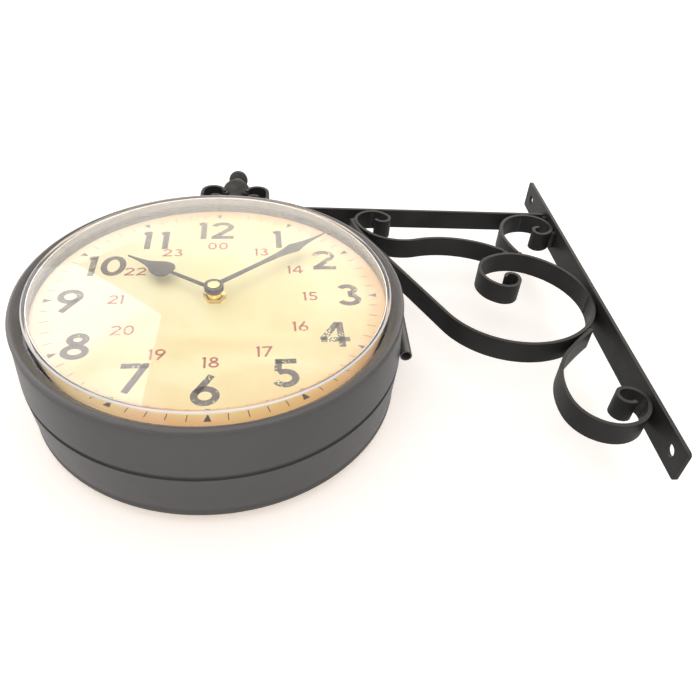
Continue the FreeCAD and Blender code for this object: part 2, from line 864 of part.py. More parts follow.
def make_knob(side):
    """Fluted setting knob on the back of the movement, with a short arbor in its socket."""
    body = new_body(side_name("setting_knob", side))
    face = new_sketch(body, body.Name + "_outline", "XZ_Plane")
    circle(face, 0, 0, size("knob_radius"))
    pad(body, face, size("knob_thickness"), reverse=(side == FRONT))
    doc.recompute()
    flute = new_sketch(body, body.Name + "_flute", "XZ_Plane")
    circle(flute, size("flute_reach"), 0, size("flute_radius"))
    cut = pocket(body, flute, size("knob_thickness") * 3, midplane=True)
    polar_pattern(body, cut, face, "N_Axis", 8)
    arbor = new_sketch(body, body.Name + "_arbor", "XZ_Plane")
    circle(arbor, 0, 0, size("arbor_radius"))
    pad(body, arbor, size("knob_arbor_length"), reverse=(side == BACK))
    offset = size("knob_offset").value
    depth = (size("movement_back") - size("knob_lift")).value
    place(body, DRUM_CENTRE + Vector(offset, side * depth, offset))


# ---------------------------------------------------------------- hands

FRONT_DIAL_TURN = -3.08
HOUR_ANGLE = 304.2
MINUTE_ANGLE = 50.8


def hand_turn(angle, side):
    """The turn about +Y of a hand at this clockwise angle from the twelve of its own dial."""
    if side == FRONT:
        return angle + FRONT_DIAL_TURN
    return -angle


def mirrored(half):
    """Both sides of a hand's blade, from the corners of its right side given from hub to tip."""
    left = []
    for index in range(len(half) - 1, 0, -1):
        corner = half[index]
        before = half[index - 1]
        arc = (corner[2], corner[3]) if len(corner) > 2 else ()
        left.append((-as_length(before[0]), before[1]) + arc)
    return tuple(half) + ((-as_length(half[-1][0]), half[-1][1]),) + tuple(left)


def hub_on(body, bore, thickness, reverse):
    """The round boss at a hand's centre, with its hole."""
    boss = new_sketch(body, body.Name + "_boss", "XZ_Plane")
    circle(boss, 0, 0, size("hub_radius"))
    pad(body, boss, thickness, reverse=reverse)
    hole = new_sketch(body, body.Name + "_bore", "XZ_Plane")
    circle(hole, 0, 0, bore)
    pocket(body, hole, thickness * 4, midplane=True)


def make_hour_hand(side):
    """Flat hand with a slim stem, a broad spade and a long point, on a ring boss."""
    wide = size("hour_half_width")
    tip = size("hour_tip")
    body = new_body(side_name("hour_hand", side))
    blade = new_sketch(body, body.Name + "_blade", "XZ_Plane")
    outline(blade, mirrored((
        (1.15, 0.0),
        (0.95, tip - 28.4),
        (2.6, tip - 28.3),
        (wide, tip - 23.4, 4.3, 1),
        (wide * 0.58, tip - 16.6, 11.0, 1),
        (1.3, tip - 9.6, 18.0, -1),
        (0.4, tip, 60.0, -1),
    )))
    pad(body, blade, size("blade_thickness"), reverse=(side == BACK))
    doc.recompute()
    hub_on(body, size("pipe_radius"), size("hour_hub_thickness"), side == BACK)
    place(body, DRUM_CENTRE + Vector(0, side * size("hour_hub_depth").value, 0), hand_turn(HOUR_ANGLE, side))


def make_minute_hand(side):
    """Flat hand with a tapered stem, a slim lozenge and a long point, on a ring boss."""
    wide = size("minute_half_width")
    tip = size("minute_tip")
    body = new_body(side_name("minute_hand", side))
    blade = new_sketch(body, body.Name + "_blade", "XZ_Plane")
    outline(blade, mirrored((
        (1.4, 0.0),
        (1.25, tip - 52.0),
        (1.7, tip - 44.0),
        (wide, tip - 28.3, 60.0, -1),
        (1.5, tip - 18.2, 40.0, -1),
        (0.3, tip, 120.0, -1),
    )))
    pad(body, blade, size("minute_blade_thickness"), reverse=(side == BACK))
    doc.recompute()
    hub_on(body, size("arbor_radius"), size("minute_hub_thickness"), side == BACK)
    depth = (size("arbor_flange_depth") + size("arbor_flange_thickness")).value
    place(body, DRUM_CENTRE + Vector(0, side * depth, 0), hand_turn(MINUTE_ANGLE, side))


def make_hour_pipe(side):
    """Tube that turns in the bush and carries the hour hand."""
    foot = size("movement_front") + size("shaft_foot_gap")
    top = size("hour_hub_depth") + size("hour_hub_thickness")
    turned_piece(side_name("hour_pipe", side), (
        (size("pipe_bore_radius"), foot),
        (size("pipe_radius"), foot),
        (size("pipe_radius"), top),
        (size("pipe_bore_radius"), top),
    ), side)


def make_minute_arbor(side):
    """Steel arbor inside the hour pipe, with the flange that the minute hand lies on."""
    foot = size("movement_front") + size("shaft_foot_gap")
    flange = size("arbor_flange_depth")
    seat = flange + size("arbor_flange_thickness")
    top = seat + size("minute_hub_thickness")
    turned_piece(side_name("minute_arbor", side), (
        (0, foot),
        (size("arbor_radius"), foot),
        (size("arbor_radius"), flange),
        (size("arbor_flange_radius"), flange),
        (size("arbor_flange_radius"), seat),
        (size("arbor_radius"), seat),
        (size("arbor_radius"), top),
        (0, top),
    ), side)


def make_hand_cap(side):
    """Domed brass cap on the end of the arbor."""
    foot = size("arbor_flange_depth") + size("arbor_flange_thickness") + size("minute_hub_thickness")
    rise = size("cap_height")
    turned_piece(side_name("hand_cap", side), (
        (0, foot),
        (size("cap_radius"), foot),
        (size("cap_radius"), foot + size("cap_edge")),
        (size("cap_radius") * 0.55, foot + rise * 0.8),
        (0, foot + rise),
    ), side)


# ---------------------------------------------------------------- build

make_wall_plate()
make_top_bar()
make_scrolls()
make_finial()
make_finial_arms()
make_welds()
make_hanger()
make_joint_band()
make_side_sleeve()
make_hanger_collar()
for dial_side in (FRONT, BACK):
    make_case_shell(dial_side)
    make_dial(dial_side)
    make_dial_ring(dial_side)
    make_seal(dial_side)
    make_lens(dial_side)
    make_movement(dial_side)
    make_cell(dial_side)
    make_bush(dial_side)
    make_dial_nut(dial_side)
    make_knob(dial_side)
    make_hour_hand(dial_side)
    make_minute_hand(dial_side)
    make_hour_pipe(dial_side)
    make_minute_arbor(dial_side)
    make_hand_cap(dial_side)
doc.recompute()

BRACKET = ("wall_plate", "top_bar", "main_scroll", "upper_scroll", "corner_scroll", "lower_scroll",
           "weld_beads", "finial_bud", "finial_scrolls", "hanger_stud", "hanger_lock_nut", "hanger_end_nut")
DRUM = ("joint_band", "side_sleeve", "hanger_collar")
EACH_SIDE = ("case_shell", "dial", "dial_ring", "lens_seal", "lens", "movement", "cell", "bush",
             "dial_nut", "setting_knob", "hour_hand", "minute_hand", "hour_pipe", "minute_arbor", "hand_cap")

nodes = list(BRACKET) + list(DRUM)
for stem in EACH_SIDE:
    nodes += [side_name(stem, FRONT), side_name(stem, BACK)]

for item in doc.Objects:
    if "Invalid" in item.State or "Error" in item.State:
        raise ValueError("%s is not built: %s" % (item.Name, item.State))
for name in nodes:
    shape = doc.getObject(name).Shape
    if shape.isNull() or not shape.isValid():
        raise ValueError("%s has no valid shape" % name)
for name in nodes:
    item = doc.getObject(name)
    item.Shape.exportStep("parts/%s.step" % name)
    print("%-20s %9.1f mm3  %d solid(s)" % (name, item.Shape.Volume, len(item.Shape.Solids)))
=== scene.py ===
import math

import bmesh
import bpy
import numpy as np
from mathutils import Matrix, Vector


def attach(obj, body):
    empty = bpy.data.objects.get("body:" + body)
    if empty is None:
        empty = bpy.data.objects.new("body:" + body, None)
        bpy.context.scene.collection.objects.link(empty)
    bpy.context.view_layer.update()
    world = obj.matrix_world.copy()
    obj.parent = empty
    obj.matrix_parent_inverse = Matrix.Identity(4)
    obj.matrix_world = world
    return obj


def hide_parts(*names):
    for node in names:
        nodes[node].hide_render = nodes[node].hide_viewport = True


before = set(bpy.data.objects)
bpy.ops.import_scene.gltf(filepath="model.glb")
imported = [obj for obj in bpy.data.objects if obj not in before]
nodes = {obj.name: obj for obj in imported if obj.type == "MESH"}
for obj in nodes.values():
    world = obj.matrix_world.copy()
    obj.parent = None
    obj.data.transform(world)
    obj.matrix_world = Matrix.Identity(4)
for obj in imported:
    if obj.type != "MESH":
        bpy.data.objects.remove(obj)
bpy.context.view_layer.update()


# ---- View: the clock lies with its back lens on a white table and is seen from below its six o'clock.
# The camera's place and two of its directions are in the clock's own frame, in metres. Its focal length and
# shift give the photograph's frame.
CAMERA_PLACE = (-0.18015, -0.2265, -0.3073)
CAMERA_RIGHT = (0.9961, -0.0641, -0.0608)
CAMERA_UP = (-0.0079, -0.7499, 0.6615)

right = Vector(CAMERA_RIGHT).normalized()
back = right.cross(Vector(CAMERA_UP)).normalized()
camera = bpy.data.objects.new("camera", bpy.data.cameras.new("camera"))
bpy.context.scene.collection.objects.link(camera)
turn = Matrix((right, back.cross(right), back)).transposed().to_4x4()
camera.matrix_world = Matrix.Translation(CAMERA_PLACE) @ turn
camera.data.sensor_width = 36.0
camera.data.lens = 33.366
camera.data.shift_x = 0.0036
camera.data.shift_y = -0.001
camera.data.clip_start = 0.01
camera.data.clip_end = 50.0
bpy.context.scene.camera = camera
bpy.context.scene.view_settings.view_transform = "Standard"


# ---- Table: a white sheet just behind the back lens, which keeps the shadow that the clock throws on it. It
# glows a little to the camera, so that it reads as white. From behind it lets the view and the lamp through,
# so that the back of the clock shows too.
TABLE_Y = 0.0345
TABLE_MIDDLE_X = -0.2
TABLE_HALF = 1.6
TABLE_WHITE = (0.93, 0.92, 0.91, 1)
TABLE_GLOW = (1.0, 0.88, 0.78, 1)
TABLE_GLOW_STRENGTH = 0.38


def new_material(name):
    """A plain node material, with its node tree, its surface shader and its output."""
    material = bpy.data.materials.new(name)
    material.use_nodes = True
    tree = material.node_tree
    return material, tree, tree.nodes["Principled BSDF"], tree.nodes["Material Output"]


def fill(tree, shader, inputs):
    """Sets each input of a shader node to a number or a colour, or feeds it from another node's output."""
    for name, value in inputs.items():
        if isinstance(value, bpy.types.NodeSocket):
            tree.links.new(value, shader.inputs[name])
        else:
            shader.inputs[name].default_value = value


def add(tree, kind, inputs=None, **settings):
    """One more shader node of a kind, with its settings made first and its inputs filled after them."""
    shader = tree.nodes.new("ShaderNode" + kind)
    for name, value in settings.items():
        setattr(shader, name, value)
    fill(tree, shader, inputs or {})
    return shader


def reckon(tree, operation, *terms):
    """The answer of one sum on its terms, such as the larger of two or the first times the second."""
    return add(tree, "Math", dict(enumerate(terms)), operation=operation).outputs[0]


def new_piece(name, corners, faces, material):
    """A mesh from an array of corners in metres and an array or a list of faces."""
    mesh = bpy.data.meshes.new(name)
    rows = faces if isinstance(faces, list) else faces.tolist()
    mesh.from_pydata(np.asarray(corners, float).tolist(), [], rows)
    mesh.materials.append(material)
    piece = bpy.data.objects.new(name, mesh)
    bpy.context.scene.collection.objects.link(piece)
    return piece


white, tree, surface, output = new_material("table_white")
fill(tree, surface, {"Base Color": TABLE_WHITE, "Roughness": 0.9})
rays = add(tree, "LightPath").outputs
seen = reckon(tree, "MAXIMUM", rays["Is Camera Ray"], rays["Is Transmission Ray"])
glow_strength = reckon(tree, "MULTIPLY", seen, TABLE_GLOW_STRENGTH)
glow = add(tree, "Emission", {"Color": TABLE_GLOW, "Strength": glow_strength})
sheet = add(tree, "AddShader", {0: surface.outputs[0], 1: glow.outputs[0]})
behind = add(tree, "NewGeometry").outputs["Backfacing"]
let_by = reckon(tree, "MAXIMUM", behind, rays["Is Shadow Ray"])
nothing = add(tree, "BsdfTransparent").outputs[0]
either = add(tree, "MixShader", {0: let_by, 1: sheet.outputs[0], 2: nothing})
fill(tree, output, {"Surface": either.outputs[0]})
square = np.array(((-1, 0, -1), (1, 0, -1), (1, 0, 1), (-1, 0, 1))) * TABLE_HALF
table = new_piece("table", square + (TABLE_MIDDLE_X, TABLE_Y, 0), [(0, 1, 2, 3)], white)


# ---- Light: a wide soft lamp over the front dial, a weaker one from the side of the six, one for the back
# dial that the table lets through, and an even white room. What the lens and the paint mirror of that room is
# brighter and a little warmer than the light that it gives.
LAMP_TARGET = (-0.2, 0.0, 0.0)
ROOM_LIGHT = 0.64
ROOM_SEEN = 1.0
MIRRORED_ROOM = 2.45
MIRRORED_TINT = (1.0, 0.93, 0.84, 1)


def soft_lamp(name, place, width, watts):
    """A square lamp at a place in metres, facing the clock, that no shiny surface mirrors."""
    data = bpy.data.lights.new(name, "AREA")
    data.size = width
    data.energy = watts
    lamp = bpy.data.objects.new(name, data)
    lamp.location = place
    lamp.rotation_euler = (Vector(LAMP_TARGET) - Vector(place)).to_track_quat("-Z", "Y").to_euler()
    lamp.visible_glossy = False
    bpy.context.scene.collection.objects.link(lamp)


def spread(tree, signal, start=0.0, stop=1.0, low=0.0, high=1.0, way="LINEAR"):
    """A signal stretched to a new range: low up to start, high from stop on, and between them in even steps
    or, with the way SMOOTHSTEP, along an S."""
    inputs = {"Value": signal, "From Min": start, "From Max": stop, "To Min": low, "To Max": high}
    return add(tree, "MapRange", inputs, interpolation_type=way).outputs[0]


def blend(tree, amount, first, second):
    """A colour that gives way from the first to the second as the amount goes from 0 to 1."""
    return add(tree, "Mix", {"Factor": amount, "A": first, "B": second}, data_type="RGBA").outputs["Result"]


soft_lamp("lamp_over", (-0.3, -1.5, 0.15), 2.4, 10.5)
soft_lamp("lamp_behind", (-0.3, 1.3, 0.3), 1.2, 9.0)
soft_lamp("lamp_low", (-0.1, -0.8, -1.2), 1.0, 3.0)
room = bpy.data.worlds.new("room")
room.use_nodes = True
bpy.context.scene.world = room
tree = room.node_tree
rays = add(tree, "LightPath").outputs
seen = reckon(tree, "MAXIMUM", rays["Is Camera Ray"], rays["Is Transmission Ray"])
level = spread(tree, seen, low=ROOM_LIGHT, high=ROOM_SEEN)
fill(tree, tree.nodes["Background"], {
    "Strength": reckon(tree, "MULTIPLY_ADD", rays["Is Glossy Ray"], MIRRORED_ROOM - ROOM_LIGHT, level),
    "Color": blend(tree, rays["Is Glossy Ray"], (1, 1, 1, 1), MIRRORED_TINT),
})


# ---- Cards: the front lens mirrors a bright room with a darker part beside a window. The dim card is sharp
# along the window and fades into the room on its other side. Only mirrored rays meet the cards.
# Each edge is a row of (x, z) from the top down.
CARD_Y = -0.8
CARD_SHARP_EDGE = ((-0.807, 1.19), (-0.490, 0.849), (-0.476, 0.54), (-0.46, 0.15))
CARD_FADED_EDGE = ((-0.56, 1.50), (0.12, 1.06), (0.30, 0.50), (0.40, 0.10))
CARD_DIM = 0.05
CARD_ACROSS = 9
CARD_DOWN = 13
WINDOW_FAR_X = -1.4
WINDOW_COLOUR = (1.0, 0.96, 0.99, 1)
WINDOW_STRENGTH = 3.6


def glowing(name, colour):
    """A material that only glows in a colour, with its node tree and its glow."""
    material, tree, surface, output = new_material(name)
    glow = add(tree, "Emission", {"Color": colour})
    fill(tree, output, {"Surface": glow.outputs[0]})
    return material, tree, glow


# The dim card is a grid: each row runs in even steps from a point of the one edge to that of the other.
dim, tree, glow = glowing("dim_card", MIRRORED_TINT)
fade = add(tree, "Attribute", attribute_name="fade").outputs["Fac"]
fill(tree, glow, {"Strength": spread(tree, fade, low=CARD_DIM, high=MIRRORED_ROOM, way="SMOOTHSTEP")})
across = np.linspace(0, 1, CARD_ACROSS)[:, None, None]
down = np.linspace(0, 3, CARD_DOWN)
sharp, faded = (np.column_stack([np.interp(down, range(4), axis) for axis in zip(*edge)])
                for edge in (CARD_SHARP_EDGE, CARD_FADED_EDGE))
corners = np.insert((sharp * (1 - across) + faded * across).reshape(-1, 2), 1, CARD_Y, axis=1)
at = (np.arange(CARD_ACROSS - 1)[:, None] * CARD_DOWN + np.arange(CARD_DOWN - 1)).reshape(-1)
faces = np.column_stack((at, at + 1, at + CARD_DOWN + 1, at + CARD_DOWN))
card = new_piece("dim_card", corners, faces, dim)
fading = card.data.attributes.new("fade", "FLOAT", "POINT")
fading.data.foreach_set("value", np.repeat(across.ravel(), CARD_DOWN))

pane, tree, glow = glowing("window_card", WINDOW_COLOUR)
fill(tree, glow, {"Strength": WINDOW_STRENGTH})
near_side = [(x, CARD_Y, z) for x, z in CARD_SHARP_EDGE]
far_side = [(WINDOW_FAR_X, CARD_Y, z) for x, z in CARD_SHARP_EDGE]
window = new_piece("window_card", near_side + far_side, [(0, 1, 5, 4), (1, 2, 6, 5), (2, 3, 7, 6)], pane)
for stand in (card, window):
    for kind in ("camera", "diffuse", "transmission", "shadow", "volume_scatter"):
        setattr(stand, "visible_" + kind, False)


# ---- Bracket: flat mild steel bar, rolled cold into scrolls, welded to a plate and a bar, and sprayed satin
# black. The paint is a little uneven, and thicker and rougher over the beads of weld.
BRACKET_NODES = ("wall_plate", "top_bar", "main_scroll", "upper_scroll", "corner_scroll", "lower_scroll",
                 "finial_scrolls", "hanger_stud", "hanger_lock_nut", "hanger_collar")


def noise(tree, scale, **inputs):
    """Clouds of about scale patches to the metre, fixed to the piece, as a signal from 0 to 1."""
    place = add(tree, "TexCoord").outputs["Object"]
    return add(tree, "TexNoise", {"Vector": place, "Scale": scale, **inputs}).outputs["Fac"]


def ramp(tree, signal, stops):
    """A colour that runs through stops, each a position along the signal and the colour there."""
    shader = add(tree, "ValToRGB", {"Fac": signal})
    marks = shader.color_ramp.elements
    for mark, (position, colour) in ((marks[0], stops[0]), (marks[1], stops[-1])):
        mark.position = position
        mark.color = (*colour, 1)
    for position, colour in stops[1:-1]:
        marks.new(position).color = (*colour, 1)
    return shader.outputs["Color"]


def clouded(name, dark, light, grain, rough, bump, mirror=0.22):
    """A finish whose colour drifts between two colours with a noise of grain patches to the metre,
    whose roughness drifts between two values with a finer noise, whose skin stands by bump metres, and whose
    shine is mirror, 0.5 being that of plain gloss."""
    material, tree, surface, output = new_material(name)
    fine = noise(tree, grain * 14, Detail=3.0)
    skin = add(tree, "Bump", {"Strength": 0.6, "Distance": bump, "Height": fine})
    fill(tree, surface, {
        "Base Color": ramp(tree, noise(tree, grain, Detail=5.0), ((0.32, dark), (0.68, light))),
        "Roughness": spread(tree, fine, low=rough[0], high=rough[1]),
        "Normal": skin.outputs[0],
        "Specular IOR Level": mirror,
    })
    return material


def shade_round(piece, degrees):
    """Shades a piece as round, but for the edges that turn by more than an angle."""
    piece.data.polygons.foreach_set("use_smooth", np.ones(len(piece.data.polygons), bool))
    split = piece.modifiers.new("split", "EDGE_SPLIT")
    split.split_angle = math.radians(degrees)


def dress(node, material, degrees):
    """Gives a node of the frame its finish, closes its loose triangles, and shades it as round but for the
    edges that turn by more than an angle."""
    item = nodes[node]
    item.data.materials.clear()
    item.data.materials.append(material)
    weld = item.modifiers.new("weld", "WELD")
    weld.merge_threshold = 1e-6
    shade_round(item, degrees)
    item.modifiers.new("even", "WEIGHTED_NORMAL")


iron = clouded("black_iron", (0.017, 0.0162, 0.0162), (0.029, 0.0275, 0.0275),
               grain=45.0, rough=(0.34, 0.52), bump=0.00006, mirror=0.18)
for node in BRACKET_NODES:
    dress(node, iron, 30)
bead = clouded("weld_bead_paint", (0.022, 0.021, 0.02), (0.05, 0.048, 0.046),
               grain=180.0, rough=(0.4, 0.65), bump=0.0004)
dress("weld_beads", bead, 50)


# ---- Finial: a bud on the bar above the hanger, turned as one piece from foot to ball and painted with the
# bracket. The ball has a crease round its lower half. Its outline is (radius, height above the bar).
BAR_TOP = 0.0889
FINIAL_AXIS = (-0.219, 0.0)
FOOT_OUTLINE = ((0.0, 0.0), (0.0076, 0.0), (0.0076, 0.002), (0.0065, 0.0032))
SKIRT_OUTLINE = ((0.006, 0.005), (0.006, 0.019), (0.0096, 0.029), (0.0096, 0.0306))
BALL = 0.0067
BALL_MIDDLE = 0.0485
BALL_CREASE = (0.0057, BALL_MIDDLE - 0.00225)


def arc_points(middle, radius, start, stop, count):
    """Points (across, up) on a circle from one angle in degrees to another."""
    angles = np.radians(np.linspace(start, stop, count))
    return np.column_stack((middle[0] + radius * np.cos(angles), middle[1] + radius * np.sin(angles)))


def turned(profile, around, middle, axis):
    """A surface of revolution: every (radius, depth) of the profile is carried round the axis, so a corner
    is the middle plus radius times the cosine and sine of its angle, and depth along the axis. A profile
    that starts and ends on the axis closes in one point at each end."""
    profile = np.asarray(profile, float)
    angles = np.linspace(0, 2 * np.pi, around, endpoint=False)
    along = np.array({"z": (0, 0, 1), "y": (0, 1, 0)}[axis])
    second = {"z": (0, 1, 0), "y": (0, 0, 1)}[axis]
    ring = np.outer(np.cos(angles), (1, 0, 0)) + np.outer(np.sin(angles), second)
    grid = ring * profile[:, 0, None, None] + along * profile[:, 1, None, None]
    row = np.arange(len(profile) - 1)[:, None] * around
    here = np.arange(around)
    then = (here + 1) % around
    faces = np.stack((row + here, row + then, row + around + then, row + around + here), -1)
    return (grid + np.asarray(middle, float)).reshape(-1, 3), faces.reshape(-1, 4)


def turned_piece(name, profile, around, middle, axis, material, body):
    """A turned piece with its doubled corners merged, its faces turned outwards and its skin shaded round."""
    piece = new_piece(name, *turned(profile, around, middle, axis), material)
    shape = bmesh.new()
    shape.from_mesh(piece.data)
    bmesh.ops.remove_doubles(shape, verts=shape.verts, dist=1e-7)
    bmesh.ops.dissolve_degenerate(shape, edges=shape.edges, dist=1e-8)
    bmesh.ops.recalc_face_normals(shape, faces=shape.faces)
    shape.to_mesh(piece.data)
    shape.free()
    shade_round(piece, 35)
    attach(piece, body)
    return piece


bud = np.vstack((
    FOOT_OUTLINE,
    SKIRT_OUTLINE,
    arc_points((0, BALL_MIDDLE), BALL, -49, -20, 8),
    BALL_CREASE,
    arc_points((0, BALL_MIDDLE), BALL, -16, 90, 26),
))
finial_paint = clouded("finial_cast_paint", (0.012, 0.014, 0.012), (0.034, 0.036, 0.033),
                       grain=300.0, rough=(0.45, 0.75), bump=0.0005)
ball = turned_piece("finial_turning", bud, 72, (*FINIAL_AXIS, BAR_TOP), "z", finial_paint, "bracket")
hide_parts("finial_bud")


# ---- Drum: two halves spun from steel sheet and pushed over a hoop, then sprayed a satin charcoal. A small
# tube is held in the seam between them.
case = clouded("case_charcoal", (0.072, 0.067, 0.068), (0.088, 0.082, 0.083),
               grain=9.0, rough=(0.3, 0.4), bump=0.000012, mirror=0.42)
for node in ("joint_band", "side_sleeve", "case_shell_front", "case_shell_back"):
    dress(node, case, 55)


# ---- Hidden hardware: zinc plated rings and nut, rubber seals under the lenses, the two moulded movements
# with their cells and knobs, and the turned brass and steel parts that come up through the dials.
zinc = clouded("zinc_plate", (0.42, 0.42, 0.40), (0.60, 0.60, 0.58),
               grain=120.0, rough=(0.25, 0.4), bump=0.00002)
rubber = clouded("seal_rubber", (0.02, 0.02, 0.02), (0.035, 0.035, 0.035),
                 grain=200.0, rough=(0.7, 0.9), bump=0.00005)
moulded = clouded("movement_moulding", (0.02, 0.02, 0.021), (0.03, 0.03, 0.032),
                  grain=160.0, rough=(0.45, 0.6), bump=0.00006)
wrap = clouded("cell_wrap", (0.10, 0.10, 0.11), (0.14, 0.14, 0.15),
               grain=60.0, rough=(0.2, 0.3), bump=0.00001)
brass = clouded("turned_brass", (0.62, 0.44, 0.13), (0.82, 0.63, 0.24),
                grain=260.0, rough=(0.16, 0.32), bump=0.00002)
steel = clouded("bright_steel", (0.55, 0.55, 0.55), (0.72, 0.72, 0.72),
                grain=260.0, rough=(0.18, 0.3), bump=0.00001)
for metal in (zinc, brass, steel):
    metal.node_tree.nodes["Principled BSDF"].inputs["Metallic"].default_value = 1.0
dress("hanger_end_nut", zinc, 30)
for face in ("front", "back"):
    for stem, material in (("dial_ring", zinc), ("lens_seal", rubber), ("movement", moulded),
                           ("setting_knob", moulded), ("cell", wrap), ("minute_arbor", steel)):
        dress(stem + "_" + face, material, 30)
    for stem in ("bush", "dial_nut", "hour_pipe", "hand_cap"):
        dress(stem + "_" + face, brass, 40)


# ---- Hands: stamped from thin sheet, painted a grey black and pressed on the hour pipe and the minute arbor.
# Both faces have the same pair.
hand_paint = clouded("hand_paint", (0.03, 0.026, 0.027), (0.05, 0.045, 0.046),
                     grain=150.0, rough=(0.4, 0.55), bump=0.00003)
for face in ("front", "back"):
    dress("hour_hand_" + face, hand_paint, 30)
    dress("minute_hand_" + face, hand_paint, 30)


# ---- Dials: thin discs clamped between ring and movement, with an aged cream print. It turns orange at the
# rim, is paler on its left (a painted reflection of the lens's white veil) and has a few ochre stains low
# down.
DRUM = (-0.219, -0.036)
RING_COLOURS = ((0.0, (0.90, 0.80, 0.40)), (0.6, (0.90, 0.79, 0.41)), (0.83, (0.88, 0.69, 0.33)),
                (0.90, (0.84, 0.48, 0.21)), (1.0, (0.74, 0.34, 0.13)))
RING_COLOURS_REACH = 0.1
RING_WOBBLE = 0.012
# Pale cream for the lighter clouds, and for the painted reflection of the lens's veil towards the left.
PALE_AND_VEIL_CREAM = (0.95, 0.90, 0.66, 1)
OCHRE = (0.74, 0.50, 0.15, 1)


def from_drum_axis(tree):
    """A point's place from the middle of the drum, and its distance from the drum's axis, which is the length
    of that place with the depth left out."""
    place = add(tree, "TexCoord").outputs["Object"]
    centred = add(tree, "VectorMath", {0: place, 1: (-DRUM[0], 0, -DRUM[1])}, operation="ADD").outputs[0]
    flat = add(tree, "VectorMath", {0: centred, 1: (1, 0, 1)}, operation="MULTIPLY").outputs[0]
    return centred, add(tree, "VectorMath", {0: flat}, operation="LENGTH").outputs["Value"]


def aged_print(name):
    """The print's colour by its distance from the dial's middle, made to wander by a noise. It gives way to
    pale cream in the lighter clouds of another noise, and towards the left as a painted reflection of the
    lens's white veil, and to ochre in its darker ones, most of all low down."""
    material, tree, surface, output = new_material(name)
    centred, reach = from_drum_axis(tree)
    wandering = reckon(tree, "MULTIPLY_ADD", noise(tree, 22.0, Detail=4.0), RING_WOBBLE, reach)
    rings = ramp(tree, spread(tree, wandering, stop=RING_COLOURS_REACH), RING_COLOURS)
    clouds = noise(tree, 17.0, Detail=6.0, Distortion=0.6)
    across_up = add(tree, "SeparateXYZ", {0: centred}).outputs
    pale = spread(tree, clouds, start=0.5, stop=0.72, high=0.55)
    # Painted reflection: paler towards the left, standing for the white veil that the front lens mirrors
    # there.
    painted_veil_left = spread(tree, across_up["X"], start=-0.01, stop=-0.07, high=0.6)
    lighter = blend(tree, reckon(tree, "MAXIMUM", pale, painted_veil_left), rings, PALE_AND_VEIL_CREAM)
    stains = spread(tree, clouds, start=0.54, stop=0.32, high=0.75)
    low_down = spread(tree, across_up["Z"], start=0.03, stop=-0.06, low=0.3)
    stained = blend(tree, reckon(tree, "MULTIPLY", stains, low_down), lighter, OCHRE)
    fill(tree, surface, {"Base Color": stained, "Roughness": 0.6})
    return material


for face in ("front", "back"):
    dress("dial_" + face, aged_print("aged_dial_" + face), 30)


# ---- Print on the dials: twelve upright numerals of even stroke, worn in places, a red ring of the hours
# from 13 to 00, and a minute track with a triangle at each hour. The ink stands 0.03 mm off the disc, and the
# front dial sits a little turned in its drum.
DIAL_FACE = 0.0213
DIAL_TURN = {"front": -3.08, "back": 0.0}
INK = 0.00003
WORN_PAPER = (0.93, 0.83, 0.44, 1)

# Lengths on the dial are in millimetres. A stroke, a gap and a figure's width are in heights of a figure.
HALF = 0.088
NUMERAL_HEIGHT = 18.8
NUMERAL_GAP = 0.13
ELEVEN_GAP = 0.28
HOUR_RING_RADIUS = 49.3
HOUR_RING_HEIGHT = 7.4
HOUR_RING_STROKE = 0.074
TRACK_INNER = 80.0
TRACK_OUTER = 84.3
MARK_HALF = 0.21
TRIANGLE_TIP = 79.9
TRIANGLE_HALF = 1.7

# How far each numeral stands from the middle, and its angle clockwise from twelve, beginning with 1.
NUMERAL_PLACES = ((65.8, 31.2), (68.1, 60.1), (69.7, 89.4), (66.8, 118.1), (66.9, 149.7), (67.4, 181.4),
                  (66.8, 210.0), (71.3, 240.2), (71.7, 269.8), (65.7, 297.5), (66.0, 327.9), (66.4, 358.8))


def worn_ink(name, colour, wear):
    """Ink that gives way to the paper in fine specks, where a fine noise times a broad one is above wear."""
    material, tree, surface, output = new_material(name)
    specks = reckon(tree, "MULTIPLY", noise(tree, 55.0), noise(tree, 900.0, Detail=3.0))
    bare = spread(tree, specks, start=wear, stop=wear + 0.03)
    fill(tree, surface, {"Base Color": blend(tree, bare, (*colour, 1), WORN_PAPER), "Roughness": 0.6})
    return material


def line(*points):
    """A stroke's middle line that runs straight through its points."""
    return np.asarray(points, float)


def bow(x, y, across, tall, start, stop):
    """A stroke's middle line on an ellipse: its middle plus half its width times the cosine, and half its
    height times the sine, of angles in degrees. The half stroke is taken off both."""
    angles = np.radians(np.linspace(start, stop, 40))
    return np.column_stack((x + (across - HALF) * np.cos(angles), y + (tall - HALF) * np.sin(angles)))


